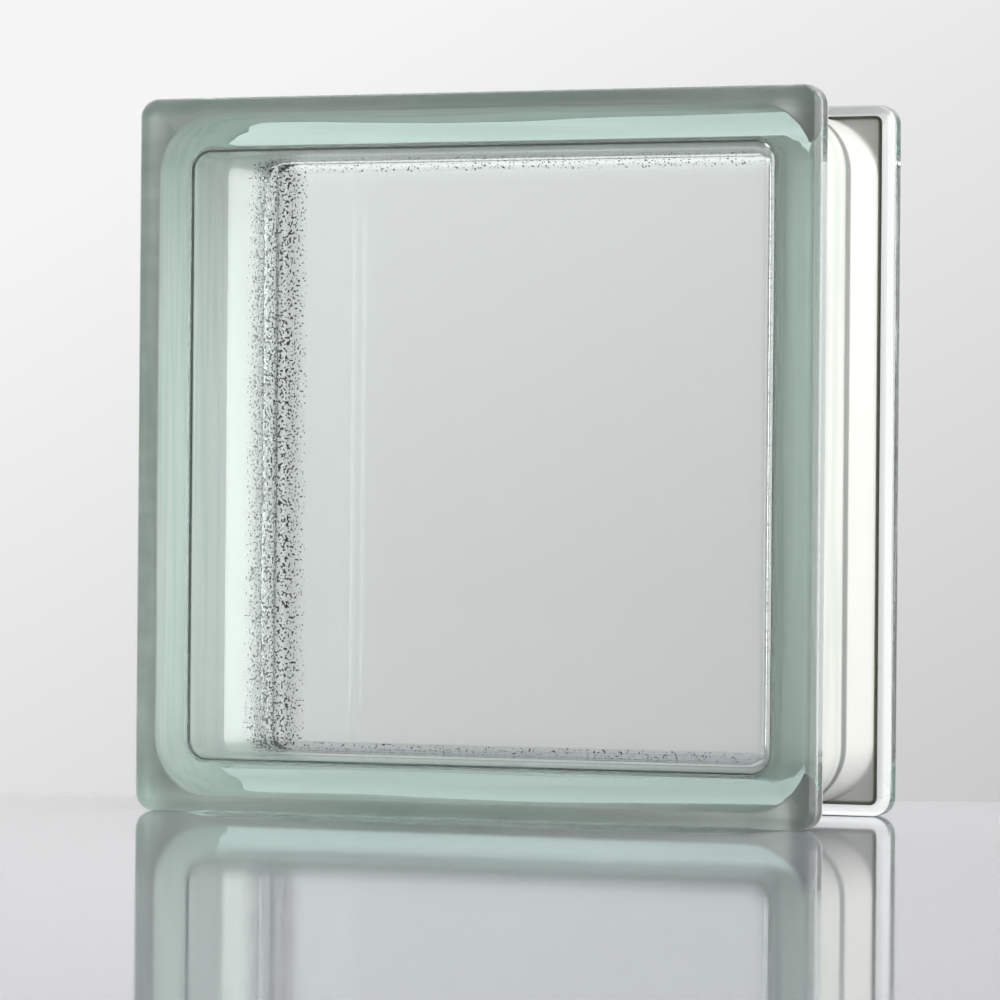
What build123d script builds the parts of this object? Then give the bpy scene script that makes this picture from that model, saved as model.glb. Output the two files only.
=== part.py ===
from build123d import *
from math import radians, tan
import os

# Clear hollow glass block of the thin series, standing upright on its lower edge.
# Two pressed glass halves are sealed rim to rim, and the channel round the edge
# carries a thin sprayed coating that mortar bonds to.
# X is the width, Y runs from the front face to the rear face, Z is up.
# The origin is at the bottom centre, halfway between the two faces.

# Overall size of the unit, in millimetres
block_width = 196.85
block_height = 196.85
block_depth = 79.375

# Face plate of each half
face_thickness = 6.35
face_edge_radius = 3.0

# Flange: the lip round each face, which stands proud of the channel. Its back is rounded down to
# a narrow flat step beside the channel floor
flange_depth = 9.8
flange_corner_radius = 5.3
flange_step_width = 0.9

# Mortar channel between the two flanges
channel_depth = 4.2
channel_corner_radius = 16.5

# Pressed cavity, drafted in degrees so that the plunger leaves it
rim_width = 13.4
cavity_corner_radius = 6.5
cavity_draft = 4.0
cavity_floor_radius = 4.0

# Seal: the hot rims swell a little where they are pressed together
seal_bead_width = 4.6
outer_bead_height = 0.6
inner_bead_height = 0.45

# Sprayed coating on the channel floor and on the step beside it, up to the rounded back
coating_thickness = 0.3

# Sizes that follow from those above
half_depth = block_depth / 2
channel_run = half_depth - flange_depth
flange_back_radius = channel_depth - flange_step_width
channel_root_radius = 0.85 * flange_step_width
waist_width = block_width - 2 * channel_depth
waist_height = block_height - 2 * channel_depth
cavity_run = half_depth - face_thickness
draft_growth = cavity_run * tan(radians(cavity_draft))
mouth_width = block_width - 2 * rim_width + 2 * draft_growth
mouth_height = block_height - 2 * rim_width + 2 * draft_growth
mouth_corner_radius = cavity_corner_radius + draft_growth
half_bead_width = seal_bead_width / 2
outer_bead_radius = 0.9 * min(outer_bead_height, half_bead_width)
inner_bead_radius = 0.9 * min(inner_bead_height, half_bead_width)
coating_width = block_width - 2 * flange_back_radius
coating_height = block_height - 2 * flange_back_radius
coating_corner_radius = flange_corner_radius - flange_back_radius
coating_root_radius = channel_root_radius - coating_thickness

# Sketches lie in the seal plane at Y = 0, about the block's centre, and grow forwards
seal_plane = Plane((0, 0, block_height / 2), x_dir=(1, 0, 0), z_dir=(0, -1, 0))
flange_back_plane = seal_plane.offset(channel_run)
coating_side_plane = seal_plane.offset(channel_run - coating_thickness)

os.makedirs("parts", exist_ok=True)


def waist_outline(growth=0.0, mode=Mode.ADD):
    """The channel floor's outline, moved out by growth on every side."""
    width = waist_width + 2 * growth
    height = waist_height + 2 * growth
    RectangleRounded(width, height, channel_corner_radius + growth, mode=mode)


def mouth_outline(growth=0.0, mode=Mode.ADD):
    """The cavity's outline at the seal, moved out by growth on every side."""
    width = mouth_width + 2 * growth
    height = mouth_height + 2 * growth
    RectangleRounded(width, height, mouth_corner_radius + growth, mode=mode)


def edges_at(edges, distance):
    """Those edges that lie in the plane this far in front of the seal."""
    return edges.filter_by_position(Axis.Y, -distance, -distance)


# Plunger that presses the cavity: drafted sides and a rounded end
with BuildPart() as plunger:
    with BuildSketch(seal_plane):
        mouth_outline()
    extrude(amount=cavity_run, taper=cavity_draft)
    fillet(edges_at(plunger.edges(), cavity_run), cavity_floor_radius)

# Ring of glass that swells into the cavity behind the seal
with BuildPart() as inner_bead:
    with BuildSketch(seal_plane):
        mouth_outline(inner_bead_height)
    extrude(amount=half_bead_width)
    with BuildSketch(seal_plane):
        mouth_outline(-inner_bead_height)
    extrude(amount=half_bead_width, mode=Mode.SUBTRACT)
    fillet(edges_at(inner_bead.edges(Select.LAST), half_bead_width), inner_bead_radius)

# Front half: flange and face plate in front, drafted wall behind, open at the seal
with BuildPart() as front_half:
    # Swelling round the outside of the seal
    with BuildSketch(seal_plane):
        waist_outline(outer_bead_height)
    extrude(amount=half_bead_width)
    fillet(edges_at(front_half.edges(), half_bead_width), outer_bead_radius)

    # Flange and face plate, rounded at the face and eased at the back of the lip
    with BuildSketch(flange_back_plane):
        RectangleRounded(block_width, block_height, flange_corner_radius)
    extrude(amount=flange_depth)
    fillet(edges_at(front_half.edges(), half_depth), face_edge_radius)
    fillet(edges_at(front_half.edges(), channel_run), flange_back_radius)

    # Wall between them, whose outside is the channel floor
    with BuildSketch(seal_plane):
        waist_outline()
    extrude(amount=channel_run)
    fillet(edges_at(front_half.edges(Select.LAST), channel_run), channel_root_radius)

    # Cavity, and the bead left inside it
    add(plunger.part, mode=Mode.SUBTRACT)
    add(inner_bead.part)

# Rear half: pressed in the same mould, so it is the front one turned about
with BuildPart() as rear_half:
    mirror(front_half.part, about=Plane.XZ)

# Front of the edge coating: over the step, along the channel floor and over the bead
with BuildPart() as front_coating:
    with BuildSketch(coating_side_plane):
        RectangleRounded(coating_width, coating_height, coating_corner_radius)
    extrude(amount=coating_thickness)
    with BuildSketch(seal_plane):
        waist_outline(coating_thickness)
    extrude(amount=channel_run - coating_thickness)
    root_edges = edges_at(front_coating.edges(Select.LAST), channel_run - coating_thickness)
    fillet(root_edges, coating_root_radius)
    with BuildSketch(seal_plane):
        waist_outline(outer_bead_height + coating_thickness)
    extrude(amount=half_bead_width + coating_thickness)
    with BuildSketch(seal_plane):
        waist_outline(-coating_thickness)
    extrude(amount=channel_run, mode=Mode.SUBTRACT)
    add(front_half.part, mode=Mode.SUBTRACT)

# Edge coating: one skin round the whole channel
with BuildPart() as edge_coating:
    add(front_coating.part)
    mirror(front_coating.part, about=Plane.XZ)

front_half.part.label = "front_half"
rear_half.part.label = "rear_half"
edge_coating.part.label = "edge_coating"

export_step(front_half.part, "parts/front_half.step")
export_step(rear_half.part, "parts/rear_half.step")
export_step(edge_coating.part, "parts/edge_coating.step")
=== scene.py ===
import bpy
import math
import numpy as np
from mathutils import Matrix, Vector


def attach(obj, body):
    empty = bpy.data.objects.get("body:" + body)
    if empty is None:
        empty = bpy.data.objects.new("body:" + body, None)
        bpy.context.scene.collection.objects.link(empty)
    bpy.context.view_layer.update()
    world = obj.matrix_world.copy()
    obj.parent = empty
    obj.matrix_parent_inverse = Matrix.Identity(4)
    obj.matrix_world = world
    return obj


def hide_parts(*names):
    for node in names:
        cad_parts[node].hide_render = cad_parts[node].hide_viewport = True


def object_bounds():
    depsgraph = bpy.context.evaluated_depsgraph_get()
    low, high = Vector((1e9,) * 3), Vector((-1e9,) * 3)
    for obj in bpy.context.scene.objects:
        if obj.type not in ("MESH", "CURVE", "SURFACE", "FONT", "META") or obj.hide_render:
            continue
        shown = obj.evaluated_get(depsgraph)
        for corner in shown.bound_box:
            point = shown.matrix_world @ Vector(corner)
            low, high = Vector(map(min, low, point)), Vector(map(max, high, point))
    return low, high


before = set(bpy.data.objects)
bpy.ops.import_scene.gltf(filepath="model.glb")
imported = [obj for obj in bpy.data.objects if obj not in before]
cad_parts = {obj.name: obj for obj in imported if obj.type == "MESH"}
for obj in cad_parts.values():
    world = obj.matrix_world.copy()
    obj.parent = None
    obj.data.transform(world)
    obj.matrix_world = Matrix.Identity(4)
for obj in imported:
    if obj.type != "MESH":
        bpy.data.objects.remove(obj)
cadLow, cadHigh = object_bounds()
print("frame loaded")

mm = 0.001
halfWidth = (cadHigh.x - cadLow.x) / 2
halfHeight = (cadHigh.z - cadLow.z) / 2
halfDepth = (cadHigh.y - cadLow.y) / 2
midHeight = (cadHigh.z + cadLow.z) / 2


# Shader expressions: a Wire wraps an output socket, and arithmetic on it adds Math nodes
class Wire:
    def __init__(self, tree, socket):
        self.tree = tree
        self.socket = socket

    def math(self, operation, *others):
        return addNode(self.tree, "ShaderNodeMath", {"operation": operation}, [self, *others])

    def __add__(self, other):
        return self.math("ADD", other)

    def __radd__(self, other):
        return self.math("ADD", other)

    def __mul__(self, other):
        return self.math("MULTIPLY", other)

    def __rmul__(self, other):
        return self.math("MULTIPLY", other)

    def __sub__(self, other):
        return self.math("SUBTRACT", other)

    def __rsub__(self, other):
        return addNode(self.tree, "ShaderNodeMath", {"operation": "SUBTRACT"}, [other, self])

    def __gt__(self, other):
        return self.math("GREATER_THAN", other)

    def __lt__(self, other):
        return self.math("LESS_THAN", other)

    def absolute(self):
        return self.math("ABSOLUTE")

    def root(self):
        return self.math("SQRT")

    def clipped(self, low, high):
        return self.larger(low).smaller(high)

    def larger(self, other):
        return self.math("MAXIMUM", other)

    def smaller(self, other):
        return self.math("MINIMUM", other)

    def fade(self, low, high):  # 0 below low, 1 above high, smooth between
        return addNode(
            self.tree, "ShaderNodeMapRange", {"interpolation_type": "SMOOTHSTEP"}, [self, low, high, 0.0, 1.0]
        )


# Adds a node, sets its settings, then fills its inputs by index or by name
def addNode(tree, kind, settings=None, values=(), output=0):
    node = tree.nodes.new(kind)
    for name, value in (settings or {}).items():
        setattr(node, name, value)
    pairs = values.items() if isinstance(values, dict) else enumerate(values)
    for key, value in pairs:
        if isinstance(value, Wire):
            tree.links.new(value.socket, node.inputs[key])
        else:
            node.inputs[key].default_value = value
    return Wire(tree, node.outputs[output])


# Outlines: every ring of the block is a rounded rectangle. Sample k has a corner share (sx, sz)
# and a direction angle: its point is (half size - radius) * share + radius * direction.
ringShape = {"sideCount": 34, "cornerCount": 14}


# Shares and directions once round, counter-clockwise seen from the front, corners as quarter turns
def ringSamples():
    arc = np.linspace(0.0, 1.0, ringShape["cornerCount"], endpoint=False)
    side = np.linspace(0.0, 1.0, ringShape["sideCount"], endpoint=False)
    corners = np.array([[1, 1], [-1, 1], [-1, -1], [1, -1]], dtype=float)
    shares, angles = [], []
    for k in range(4):
        nextCorner = corners[(k + 1) % 4]
        shares.append(np.repeat(corners[k][None], len(arc), axis=0))
        angles.append((k + arc) * math.pi / 2)
        shares.append(corners[k] + side[:, None] * (nextCorner - corners[k]))
        angles.append(np.full(len(side), (k + 1) * math.pi / 2))
    share, angle = np.concatenate(shares), np.concatenate(angles)
    return share, np.stack([np.cos(angle), np.sin(angle)], axis=1)


ringShare, ringDirection = ringSamples()
ringCount = len(ringShare)


# Rows of ring points: x and z are (half size - inset - radius) * share + radius * direction, y is depth
def ringSurface(inset, depth, radius):
    inset, depth, radius = (np.asarray(column, dtype=float)[:, None] for column in (inset, depth, radius))
    x = (halfWidth - inset - radius) * ringShare[:, 0] + radius * ringDirection[:, 0]
    z = (halfHeight - inset - radius) * ringShare[:, 1] + radius * ringDirection[:, 1] + midHeight
    y = np.broadcast_to(depth, x.shape)
    return np.stack([x, y, z], axis=2)


# An arc in the section: centre + radius * (cos, sin) of an angle that runs from start to end in degrees
def arcPoints(centre, radius, start, end, count):
    angle = np.radians(np.linspace(start, end, count))
    return centre[0] + radius * np.cos(angle), centre[1] + radius * np.sin(angle)


# Quads between neighbouring rows of a ring grid, and a fan onto the pole vertex at each end
def shellFaces(rows, first, outward, poles):
    row, col = np.meshgrid(np.arange(rows - 1), np.arange(ringCount), indexing="ij")
    nextCol = (col + 1) % ringCount
    a = first + row * ringCount + col
    b = first + row * ringCount + nextCol
    c = first + (row + 1) * ringCount + nextCol
    d = first + (row + 1) * ringCount + col
    quads = np.stack([a, d, c, b] if outward else [a, b, c, d], axis=2).reshape(-1, 4)
    k = np.arange(ringCount)
    here, there = first + k, first + (k + 1) % ringCount
    front, back = np.full(ringCount, poles[0]), np.full(ringCount, poles[1])
    lastHere, lastThere = here + (rows - 1) * ringCount, there + (rows - 1) * ringCount
    fans = np.concatenate([
        np.stack([front, here, there] if outward else [front, there, here], axis=1),
        np.stack([back, lastThere, lastHere] if outward else [back, lastHere, lastThere], axis=1),
    ])
    return quads.tolist() + fans.tolist()


# A smooth-shaded mesh object at the origin, its place in its vertices
def makePiece(name, vertices, faces):
    mesh = bpy.data.meshes.new(name)
    mesh.from_pydata(vertices.tolist(), [], faces)
    mesh.update()
    mesh.shade_smooth()
    piece = bpy.data.objects.new(name, mesh)
    bpy.context.scene.collection.objects.link(piece)
    return piece


# Sealed glass: both pressed halves as one body of glass, as the fused block is
glass = {
    "faceThickness": 6.35 * mm,
    "faceEdgeRadius": 3.0 * mm,
    "flangeDepth": 9.8 * mm,
    "flangeCornerRadius": 5.3 * mm,
    "flangeBackRadius": 3.3 * mm,
    "channelDepth": 4.2 * mm,
    "channelCornerRadius": 16.5 * mm,
    "channelRootRadius": 0.765 * mm,
    "rimWidth": 13.4 * mm,
    "cavityCornerRadius": 6.5 * mm,
    "cavityDraft": 4.0,
    "cavityFloorRadius": 4.0 * mm,
    "beadWidth": 4.6 * mm,
    "outerBeadHeight": 0.3 * mm,
    "innerBeadHeight": 0.04 * mm,
    "waviness": 0.02 * mm,
    "waveCount": 9,
    "waveLength": (9 * mm, 45 * mm),
    "outerSeed": 3,
    "innerSeed": 8,
}

# How many points each stretch of the section gets
steps = {
    "outerCap": 18,
    "faceEdge": 10,
    "flangeSide": 3,
    "flangeBack": 9,
    "step": 6,
    "root": 8,
    "floor": 8,
    "bead": 8,
    "innerCap": 22,
    "hollowFloor": 12,
    "hollowWall": 11,
    "overspray": 8,
}
capStart = 0.97  # share of the way to the middle where a face's rings begin, next to its pole


# A bead's swelling: height * cos squared across its width, nothing beyond it
def bellOf(depth, width, height):
    share = np.clip(np.abs(depth) / (width / 2), 0.0, 1.0)
    return height * np.cos(share * math.pi / 2) ** 2


# The section of the rear half is the front one's in reverse, with depth turned about
def mirrored(inset, depth, radius):
    return (
        np.concatenate([inset, inset[-2::-1]]),
        np.concatenate([depth, -depth[-2::-1]]),
        np.concatenate([radius, radius[-2::-1]]),
    )


# Half of the channel, moved into the air by offset: step face, root arc, floor and bead up to the seal
def channelSection(g, offset):
    run, rootR, floorInset = halfDepth - g["flangeDepth"], g["channelRootRadius"], g["channelDepth"]
    backR, rootInset = g["flangeBackRadius"], floorInset - rootR
    share = np.linspace(0.0, 1.0, steps["step"], endpoint=False)
    stepRadius, rootRadius = g["flangeCornerRadius"] - backR, g["channelCornerRadius"] + rootR
    step = (
        backR + share * (rootInset - backR),
        np.full(len(share), -run + offset),
        stepRadius + share * (rootRadius - stepRadius),
    )
    inset, depth = arcPoints((rootInset, -run + rootR), rootR - offset, -90, 0, steps["root"])
    root = (inset, depth, g["channelCornerRadius"] + floorInset - inset)
    halfBead = g["beadWidth"] / 2
    depth = np.concatenate([
        np.linspace(depth[-1], -halfBead, steps["floor"] + 1)[1:],
        np.linspace(-halfBead, 0.0, steps["bead"] + 1)[1:],
    ])
    inset = floorInset - offset - bellOf(depth, g["beadWidth"], g["outerBeadHeight"])
    floor = (inset, depth, g["channelCornerRadius"] + floorInset - inset)
    return tuple(np.concatenate(column) for column in zip(step, root, floor))


# Inset, depth and corner radius down the outside: face, edge arc, flange, step, root arc, channel floor
def outerSection(g):
    faceR, backR = g["faceEdgeRadius"], g["flangeBackRadius"]
    run = halfDepth - g["flangeDepth"]
    capShare = np.linspace(capStart, 0.0, steps["outerCap"], endpoint=False)
    capInset = faceR + capShare * (halfWidth - faceR)
    capRadius = (g["flangeCornerRadius"] - faceR) * (1 - capShare)
    cap = (capInset, np.full(len(capShare), -halfDepth), capRadius)
    inset, depth = arcPoints((faceR, -halfDepth + faceR), faceR, -90, -180, steps["faceEdge"])
    edge = (inset, depth, g["flangeCornerRadius"] - inset)
    depth = np.linspace(-halfDepth + faceR, -run - backR, steps["flangeSide"] + 2)[1:-1]
    side = (np.zeros(len(depth)), depth, np.full(len(depth), g["flangeCornerRadius"]))
    inset, depth = arcPoints((backR, -run - backR), backR, 180, 90, steps["flangeBack"])
    back = (inset[:-1], depth[:-1], (g["flangeCornerRadius"] - inset)[:-1])
    parts = [cap, edge, side, back, channelSection(g, 0.0)]
    return mirrored(*(np.concatenate(column) for column in zip(*parts)))


# The same for the hollow: inner face, floor arc, drafted wall, bead at the seal
def innerSection(g):
    slope = math.radians(g["cavityDraft"])
    run = halfDepth - g["faceThickness"]
    mouthInset = g["rimWidth"] - run * math.tan(slope)
    mouthRadius = g["cavityCornerRadius"] + run * math.tan(slope)
    floorR = g["cavityFloorRadius"]
    centreDepth = run - floorR
    centreInset = mouthInset + (floorR + centreDepth * math.sin(slope)) / math.cos(slope)
    inset, depth = arcPoints(
        (centreInset, -centreDepth), floorR, -90, -180 + g["cavityDraft"], steps["hollowFloor"]
    )
    arc = (inset, depth, mouthRadius + mouthInset - inset)
    capShare = np.linspace(capStart, 0.0, steps["innerCap"], endpoint=False)
    capInset = inset[0] + capShare * (halfWidth - inset[0])
    cap = (capInset, np.full(len(capShare), -run), arc[2][0] * (1 - capShare))
    halfBead = g["beadWidth"] / 2
    depth = np.concatenate([
        np.linspace(depth[-1], -halfBead, steps["hollowWall"] + 1)[1:],
        np.linspace(-halfBead, 0.0, steps["bead"] + 1)[1:],
    ])
    inset = mouthInset - depth * math.tan(slope) + bellOf(depth, g["beadWidth"], g["innerBeadHeight"])
    wall = (inset, depth, mouthRadius + mouthInset - inset)
    return mirrored(*(np.concatenate(column) for column in zip(cap, arc, wall)))


# A slow unevenness of pressed glass, from 0 to 1: a mean of plane sine waves with seeded directions
def ripple(g, points, seed):
    rng = np.random.default_rng(seed)
    total = np.zeros(points.shape[:-1])
    for _ in range(g["waveCount"]):
        direction = rng.normal(size=3)
        direction /= np.linalg.norm(direction)
        length = rng.uniform(*g["waveLength"])
        total += np.sin(points @ direction * (2 * math.pi / length) + rng.uniform(0, 2 * math.pi))
    return 0.5 + 0.5 * total / g["waveCount"]


# The outside and the hollow as two closed shells of one mesh, both sunk a little by the ripple
def makeGlass(g):
    vertices, faces, first = [], [], 0
    middle = np.array([0.0, 0.0, midHeight])
    shells = ((outerSection(g), True, g["outerSeed"]), (innerSection(g), False, g["innerSeed"]))
    for section, outward, seed in shells:
        surface = ringSurface(*section)
        sag = g["waviness"] * ripple(g, surface, seed)
        surface = surface + (middle - surface) * (sag[..., None] / halfWidth)
        rows = len(surface)
        points = surface.reshape(-1, 3)
        poles = np.array([[0.0, surface[row, :, 1].mean(), midHeight] for row in (0, -1)])
        last = first + len(points)
        faces += shellFaces(rows, first, outward, (last, last + 1))
        vertices += [points, poles]
        first = last + 2
    return makePiece("sealed_glass", np.concatenate(vertices), faces)


sealedGlass = makeGlass(glass)
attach(sealedGlass, "root")
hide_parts("front_half", "rear_half")
print("glass made")

# Edge coating: a closed band whose inside lies just within the glass, as paint wets it
coating = {
    "thickness": 0.2 * mm,
    "contact": 0.08 * mm,
    "oversprayAngle": 150,  # how far the coat runs up the front flange's rounded back, in degrees
}


# A band round the channel: its section is the channel's, moved out by the coat and back just inside the glass
def makeCoating(c, g):
    backR, run = g["flangeBackRadius"], halfDepth - g["flangeDepth"]

    def side(offset):
        centre = (backR, -run - backR)
        arc = arcPoints(centre, backR + offset, c["oversprayAngle"], 90, steps["overspray"])
        overspray = (arc[0][:-1], arc[1][:-1], (g["flangeCornerRadius"] - arc[0])[:-1])
        return [np.concatenate(column) for column in zip(overspray, mirrored(*channelSection(g, offset)))]

    outside, inside = side(c["thickness"]), side(-c["contact"])
    inset, depth, radius = (np.concatenate([a, b[::-1]]) for a, b in zip(outside, inside))
    surface = ringSurface(inset, depth, radius)
    rows = len(surface)
    row, col = np.meshgrid(np.arange(rows), np.arange(ringCount), indexing="ij")
    nextRow, nextCol = (row + 1) % rows, (col + 1) % ringCount
    quads = np.stack([
        row * ringCount + col,
        nextRow * ringCount + col,
        nextRow * ringCount + nextCol,
        row * ringCount + nextCol,
    ], axis=2)
    coat = makePiece("edge_coat", surface.reshape(-1, 3), quads.reshape(-1, 4).tolist())
    innerSkin = np.repeat(np.arange(rows) >= len(outside[0]) - 1, ringCount)
    coat.data.polygons.foreach_set("material_index", innerSkin.astype(np.int32))
    return coat


edgeCoat = makeCoating(coating, glass)
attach(edgeCoat, "root")
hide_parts("edge_coating")
print("coating made")


# Glass material: clear, faintly green in depth, with fine pressing grain on the rear half's inside; the dark
# specks and darker band over that grain are painted refraction, standing in for the dark room seen through
# the rough glass.
# Pairs are where a fade starts and ends
glassLook = {
    "tint": (0.985, 0.995, 0.99, 1.0),
    "ior": 1.52,
    "absorbColour": (0.64, 0.86, 0.79, 1.0),
    "absorbDensity": 13.0,
    "faceBand": 1.0 * mm,
    "hollowInset": 10.0 * mm,
    "hollowDepth": 5.0 * mm,
    "grainScale": 800.0,
    "grainStrength": 0.18,
    "grainAlongWall": (11.0 * mm, 21.0 * mm),
    "grainOnFloor": (15.4 * mm, 22.0 * mm),
    "grainInRound": (14.5 * mm, 17.0 * mm),
    "grainOnTop": 0.2,
    "speckScale": 1150.0,
    "speckStretch": (1.6, 0.7, 1.2),
    # Near-black colour of the painted refraction at the grain's specks
    "paintedRefractionColour": (0.003, 0.003, 0.003, 1.0),
    "speckShare": 0.13,
    "speckCut": (0.68, 0.74),
    "speckFrom": 0.02,
    # How far the grain's whole band is painted towards that colour, as painted refraction
    "denseShade": 0.5,
    "flowScale": 160.0,
    "flowStretch": 0.06,
    "flowStrength": 0.8,
    "flowInset": (11.0 * mm, 14.5 * mm),
    "reliefDepth": 0.5 * mm,
}


# An empty node material and its tree
def newMaterial(name):
    material = bpy.data.materials.new(name)
    material.use_nodes = True
    tree = material.node_tree
    tree.nodes.clear()
    return material, tree


# The x, y and z of a node's vector output
def partsOf(tree, vector):
    parts = tree.nodes.new("ShaderNodeSeparateXYZ")
    tree.links.new(vector.socket, parts.inputs[0])
    return [Wire(tree, parts.outputs[k]) for k in range(3)]


# The point's own x, y and z, with z counted from the block's middle
def placeOf(tree):
    x, y, z = partsOf(tree, addNode(tree, "ShaderNodeTexCoord", output=3))
    return x, y, z - midHeight


# Three numbers as one vector
def joined(tree, x, y, z):
    return addNode(tree, "ShaderNodeCombineXYZ", None, [x, y, z])


# Smooth 3D noise about 0.5. A detail of 1 adds one finer octave
def noiseAt(tree, vector, scale, detail):
    return addNode(tree, "ShaderNodeTexNoise", {"noise_dimensions": "3D"}, {
        "Vector": vector, "Scale": scale, "Detail": detail, "Roughness": 0.5
    })


# One colour changed into another by a share, or multiplied by it. Inputs 6 and 7 are Mix's two colours
def mixed(tree, share, first, second, blend="MIX"):
    return addNode(
        tree, "ShaderNodeMix", {"data_type": "RGBA", "blend_type": blend}, {0: share, 6: first, 7: second}, 2
    )


# Joins the shaders to the material's output
def finish(tree, surface, volume=None):
    out = tree.nodes.new("ShaderNodeOutputMaterial")
    tree.links.new(surface.socket, out.inputs["Surface"])
    if volume is not None:
        tree.links.new(volume.socket, out.inputs["Volume"])


# Clear glass with an absorbing inside, darkened where the grain's mask or a speck is as painted refraction of
# the dark room seen through the grain, and bumped
def makeGlassMaterial(look):
    material, tree = newMaterial("pressed_clear_glass")
    x, y, z = placeOf(tree)
    inset = halfWidth - x.absolute().larger(z.absolute())
    inside = (inset > look["hollowInset"]) * (y.absolute() < halfDepth - look["hollowDepth"])
    # Grain: full on the rear half's side walls and their round, thinning onto the flat floor, and
    # a little in the round above and below
    besideWall = 1.0 - (halfWidth - x.absolute()).fade(*look["grainOnFloor"])
    overWall = (1.0 - (halfHeight - z.absolute()).fade(*look["grainInRound"])) * look["grainOnTop"]
    grainMask = inside * y.fade(*look["grainAlongWall"]) * besideWall.larger(overWall)
    acrossWall, alongWall, upWall = look["speckStretch"]
    speckPlace = joined(tree, x * acrossWall, y * alongWall, z * upWall)
    # Painted refraction: the grain's area is shaded darker and each speck turns near black, for the dark
    # surroundings that the rough glass shows
    level = noiseAt(tree, speckPlace, look["speckScale"], 0.0) + grainMask * look["speckShare"]
    speck = level.fade(*look["speckCut"]) * (grainMask > look["speckFrom"])
    colour = mixed(tree, (grainMask * look["denseShade"]).larger(speck), look["tint"], look["paintedRefractionColour"])
    # Relief: one noise does for the fine grain in the hollow and for the flow lines on the faces over
    # the walls, where it is drawn out along the nearest edge
    onFace = y.absolute() > halfDepth - look["faceBand"]
    alongTop = z.absolute() > x.absolute()
    across, along = look["flowScale"], look["flowScale"] * look["flowStretch"]
    fine = (1.0 - onFace) * look["grainScale"]
    reliefPlace = joined(
        tree,
        x * (fine + onFace * (across + alongTop * (along - across))),
        y * fine,
        z * (fine + onFace * (along + alongTop * (across - along))),
    )
    flowMask = onFace * (1.0 - inset.fade(*look["flowInset"]))
    relief = addNode(tree, "ShaderNodeBump", None, {
        "Strength": flowMask * look["flowStrength"] + grainMask * look["grainStrength"],
        "Distance": look["reliefDepth"],
        "Height": noiseAt(tree, reliefPlace, 1.0, 1.0),
    })
    clear = addNode(tree, "ShaderNodeBsdfPrincipled", None, {
        "Base Color": colour,
        "Roughness": 0.0,
        "IOR": look["ior"],
        "Transmission Weight": 1.0,
        "Normal": relief,
    })
    depthTint = addNode(tree, "ShaderNodeVolumeAbsorption", None, {
        "Color": look["absorbColour"], "Density": look["absorbDensity"]
    })
    finish(tree, clear, depthTint)
    return material


# Coat materials: cream paint that lets some light through, greyer on the seam, with a painted shadow in dark
# olive at its rim by the rear step.
# The outside skin is painted darker than the coat's near white, as painted shade that holds it down under the
# strong key light; the skin against the glass keeps the purer white.
coatLook = {
    # The outer colour is painted shade: the coat's outside is written mid-grey, darker than its near-white
    # colour
    "outerColour": (0.5, 0.5, 0.47, 1.0),
    "innerColour": (0.97, 0.97, 0.94, 1.0),
    "outerSeam": (0.13, 0.135, 0.12, 1.0),
    "innerSeam": (0.94, 0.95, 0.93, 1.0),
    "seamEdge": (1.6 * mm, 3.4 * mm),
    # The rim colour is painted shadow in the crease at the rear step
    "rimShadowColour": (0.035, 0.04, 0.01, 1.0),
    "rimInset": (3.9 * mm, 4.7 * mm),
    "rimReach": (1.6 * mm, 0.8 * mm),
    # How dark the painted shade on the front flange's back gets at the left and right
    "backShade": 0.72,
    "backCorner": (-4.0 * mm, 14.0 * mm),
    "patchScale": 260.0,
    "patchStretch": (0.5, 0.5, 1.0),
    "streakScale": 210.0,
    "streakStretch": 0.07,
    "streakTint": (0.84, 0.92, 0.88, 1.0),
    "streakCut": (0.42, 0.62),
    "roughness": 0.6,
    "through": 0.25,
}


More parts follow.
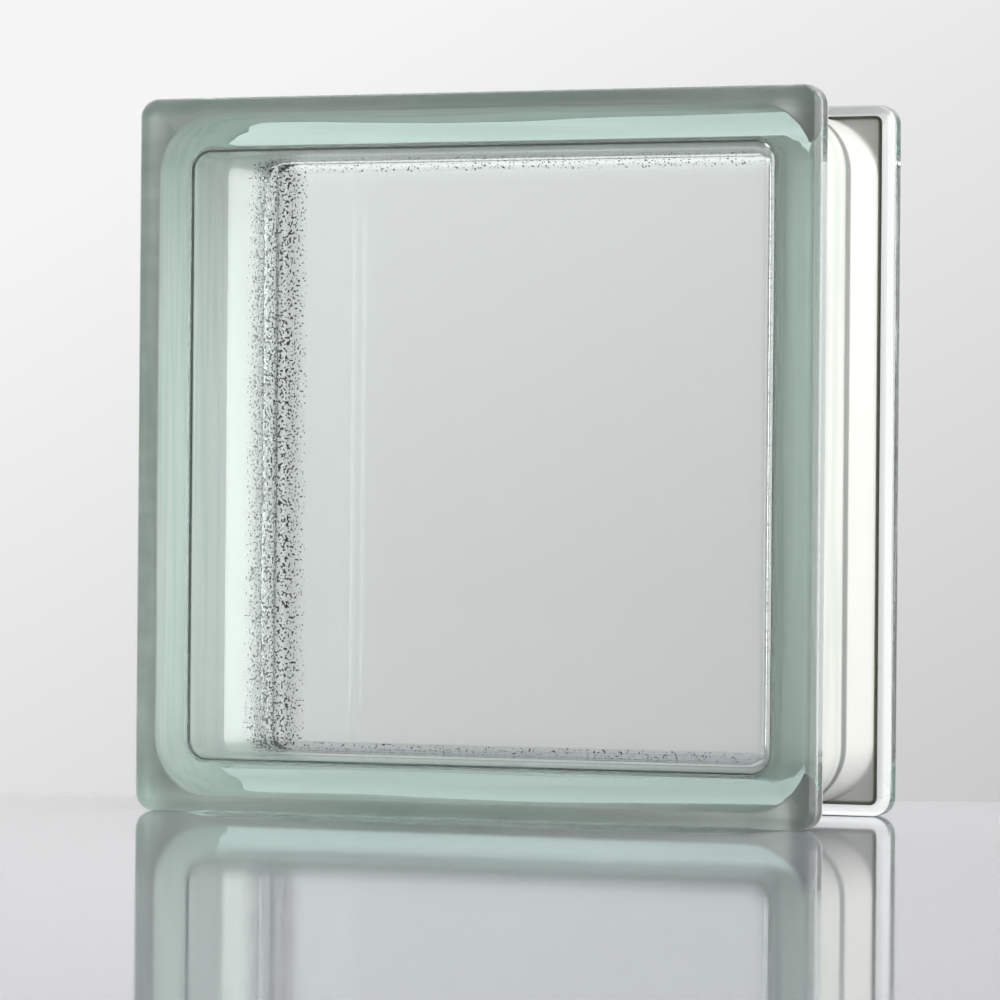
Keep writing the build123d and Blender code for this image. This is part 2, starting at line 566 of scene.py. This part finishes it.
# Paint over a translucent share: base, then the seam, the rim's painted shadow and the streaks laid on it,
# then the painted shade
def makeCoatMaterial(look, name, base, seamColour):
    material, tree = newMaterial(name)
    x, y, z = placeOf(tree)
    colour = mixed(tree, 1.0 - y.absolute().fade(*look["seamEdge"]), base, seamColour)
    # Painted shadow at the rim: dark olive near the flange's outline, which is a rounded square, and close to
    # the rear step, in the crease where the channel floor meets the flange
    cornerR, rearStep = glass["flangeCornerRadius"], halfDepth - glass["flangeDepth"]
    overX = (x.absolute() - (halfWidth - cornerR)).larger(0.0)
    overZ = (z.absolute() - (halfHeight - cornerR)).larger(0.0)
    inset = cornerR - (overX * overX + overZ * overZ).root()
    rimStart, rimEnd = (rearStep - reach for reach in look["rimReach"])
    rimShadow = (1.0 - inset.fade(*look["rimInset"])) * y.fade(rimStart, rimEnd)
    colour = mixed(tree, rimShadow, colour, look["rimShadowColour"])
    # Streaks along the edges on the front half
    alongTop = z.absolute() > x.absolute()
    stretch = look["streakStretch"]
    streakPlace = joined(
        tree, x * (1.0 - alongTop * (1.0 - stretch)), y, z * (stretch + alongTop * (1.0 - stretch))
    )
    streak = noiseAt(tree, streakPlace, look["streakScale"], 1.0)
    streakShare = streak.fade(*look["streakCut"]) * (y < 0.0)
    colour = mixed(tree, streakShare, colour, look["streakTint"], "MULTIPLY")
    # Painted shade: the front flange's back at the left and right is darkened for the little light that
    # reaches it there, and mottled by a noise
    shadedFlangeBack = (y < glass["flangeDepth"] - halfDepth + coating["thickness"]) * (
        (x.absolute() - z.absolute()).fade(*look["backCorner"])
    )
    patchX, patchY, patchZ = look["patchStretch"]
    patch = noiseAt(tree, joined(tree, x * patchX, y * patchY, z * patchZ), look["patchScale"], 1.0)
    shade = 1.0 - shadedFlangeBack * (1.0 - look["backShade"]) * (0.5 + patch)
    colour = addNode(tree, "ShaderNodeVectorMath", {"operation": "SCALE"}, {0: colour, "Scale": shade})
    paint = addNode(tree, "ShaderNodeBsdfPrincipled", None, {
        "Base Color": colour, "Roughness": look["roughness"]
    })
    glow = addNode(tree, "ShaderNodeBsdfTranslucent", None, {"Color": look["innerColour"]})
    finish(tree, addNode(tree, "ShaderNodeMixShader", None, [look["through"], paint, glow]))
    return material


sealedGlass.data.materials.append(makeGlassMaterial(glassLook))
# The outer skin gets the colour darkened as painted shade, the inner skin the near white
for name, skin in (("sprayed_edge_coat", "outer"), ("coat_against_glass", "inner")):
    coatMaterial = makeCoatMaterial(coatLook, name, coatLook[skin + "Colour"], coatLook[skin + "Seam"])
    edgeCoat.data.materials.append(coatMaterial)
print("materials made")

# Stage: a pale, polished table whose far edge lies just behind the block
stageLook = {
    "tableWidth": 3.2,
    "tableFront": -2.2,
    "tableBack": 0.075,
    "turn": 0.32,
    "colour": (0.3, 0.31, 0.33, 1.0),
    "roughness": 0.06,
}


# A flat four-cornered table at the block's foot, turned about the block's upright axis
def makeStage(look):
    half, front, back = look["tableWidth"] / 2, look["tableFront"], look["tableBack"]
    turn = Matrix.Rotation(look["turn"], 3, "Z")
    corners = [(-half, front, 0), (half, front, 0), (half, back, 0), (-half, back, 0)]
    table = makePiece("table", np.array([tuple(turn @ Vector(c)) for c in corners]), [(0, 1, 2, 3)])
    material, tree = newMaterial("pale_table")
    finish(tree, addNode(tree, "ShaderNodeBsdfPrincipled", None, {
        "Base Color": look["colour"], "Roughness": look["roughness"]
    }))
    table.data.materials.append(material)


makeStage(stageLook)

# Camera at the photograph's angle
cameraView = {
    "place": (0.47939, -1.28782, 0.08506),
    "yaw": 0.36003,
    "pitch": 0.00118,
    "roll": 0.008287,
    "lens": 178.62,
    "sensor": 36.0,
}

# Light: a world that is pale behind the block, bright at the right and dark elsewhere, and a soft box.
# Pairs are where a fade starts and ends along the world's x, y or z
worldLook = {
    "level": 0.76,
    "rise": 1.4,
    "slant": -0.8,
    "limits": (0.55, 0.92),
    "tone": (1.0, 0.995, 1.005),
    "behindBack": (0.05, 0.45),
    "roomLevel": 0.08,
    "keyLevel": 4.9,
    "keyRight": (0.35, 0.6),
    "keyBack": (0.25, 0.55),
    "sideLevel": 3.4,
    "sideRight": (0.45, 0.75),
    "sideFront": (-0.85, -0.7),
    "lampTop": (0.6, 0.85),
    "aboveLevel": 0.25,
    "aboveUp": (0.25, 0.5),
    "aboveBack": (0.1, 0.35),
}
softBox = {"place": (0.6, 0.5, 1.4), "target": (0.0, 0.0, 0.1), "size": 1.2, "power": 9.0}


# The camera sees level + rise * z + slant * right, clipped to the limits. Other rays see that behind the
# block, the room level elsewhere, and three brighter patches: the key, the side and the one above
def makeWorld(look):
    world = bpy.data.worlds.new("studio")
    bpy.context.scene.world = world
    world.use_nodes = True
    world.cycles.sampling_method = "NONE"
    tree = world.node_tree
    tree.nodes.clear()
    camera = addNode(tree, "ShaderNodeLightPath")
    x, y, z = partsOf(tree, addNode(tree, "ShaderNodeTexCoord"))
    right = x * math.cos(cameraView["yaw"]) + y * math.sin(cameraView["yaw"])
    pale = (look["level"] + z * look["rise"] + right * look["slant"]).clipped(*look["limits"])
    behind = y.fade(*look["behindBack"])
    back, low = y.fade(*look["keyBack"]), 1.0 - z.fade(*look["lampTop"])
    key = x.fade(*look["keyRight"]) * back * low
    side = x.fade(*look["sideRight"]) * (1.0 - back) * y.fade(*look["sideFront"]) * low
    above = z.fade(*look["aboveUp"]) * y.fade(*look["aboveBack"])
    around = pale * behind + (1.0 - behind) * look["roomLevel"]
    around = around + key * look["keyLevel"] + side * look["sideLevel"] + above * look["aboveLevel"]
    level = pale * camera + around * (1.0 - camera)
    tone = addNode(tree, "ShaderNodeCombineColor", None, [level * share for share in look["tone"]])
    light = addNode(tree, "ShaderNodeBackground", None, {"Color": tone, "Strength": 1.0})
    out = tree.nodes.new("ShaderNodeOutputWorld")
    tree.links.new(light.socket, out.inputs["Surface"])


# A square area lamp that faces its target
def addSoftBox(look):
    lamp = bpy.data.lights.new("top_box", "AREA")
    lamp.shape = "SQUARE"
    lamp.size = look["size"]
    lamp.energy = look["power"]
    box = bpy.data.objects.new("top_box", lamp)
    box.location = look["place"]
    aim = Vector(look["target"]) - Vector(look["place"])
    box.rotation_euler = aim.to_track_quat("-Z", "Y").to_euler()
    bpy.context.scene.collection.objects.link(box)


# Turned by roll about its own line of sight, then up by pitch, then round by yaw
def makeCamera(view):
    camera = bpy.data.objects.new("camera", bpy.data.cameras.new("camera"))
    camera.data.sensor_width = view["sensor"]
    camera.data.lens = view["lens"]
    turn = (
        Matrix.Rotation(view["yaw"], 4, "Z")
        @ Matrix.Rotation(math.pi / 2 + view["pitch"], 4, "X")
        @ Matrix.Rotation(view["roll"], 4, "Z")
    )
    camera.matrix_world = Matrix.Translation(view["place"]) @ turn
    bpy.context.scene.collection.objects.link(camera)
    bpy.context.scene.camera = camera


makeWorld(worldLook)
addSoftBox(softBox)
makeCamera(cameraView)
print("stage, light and camera made")

# How far light is followed through the glass. blur_glossy stays at 0, or what lies behind glass turns dark
scene = bpy.context.scene
scene.view_settings.view_transform = "Standard"
scene.cycles.max_bounces = 10
scene.cycles.transmission_bounces = 10
scene.cycles.glossy_bounces = 6
scene.cycles.diffuse_bounces = 2
scene.cycles.blur_glossy = 0.0
scene.cycles.adaptive_threshold = 0.05
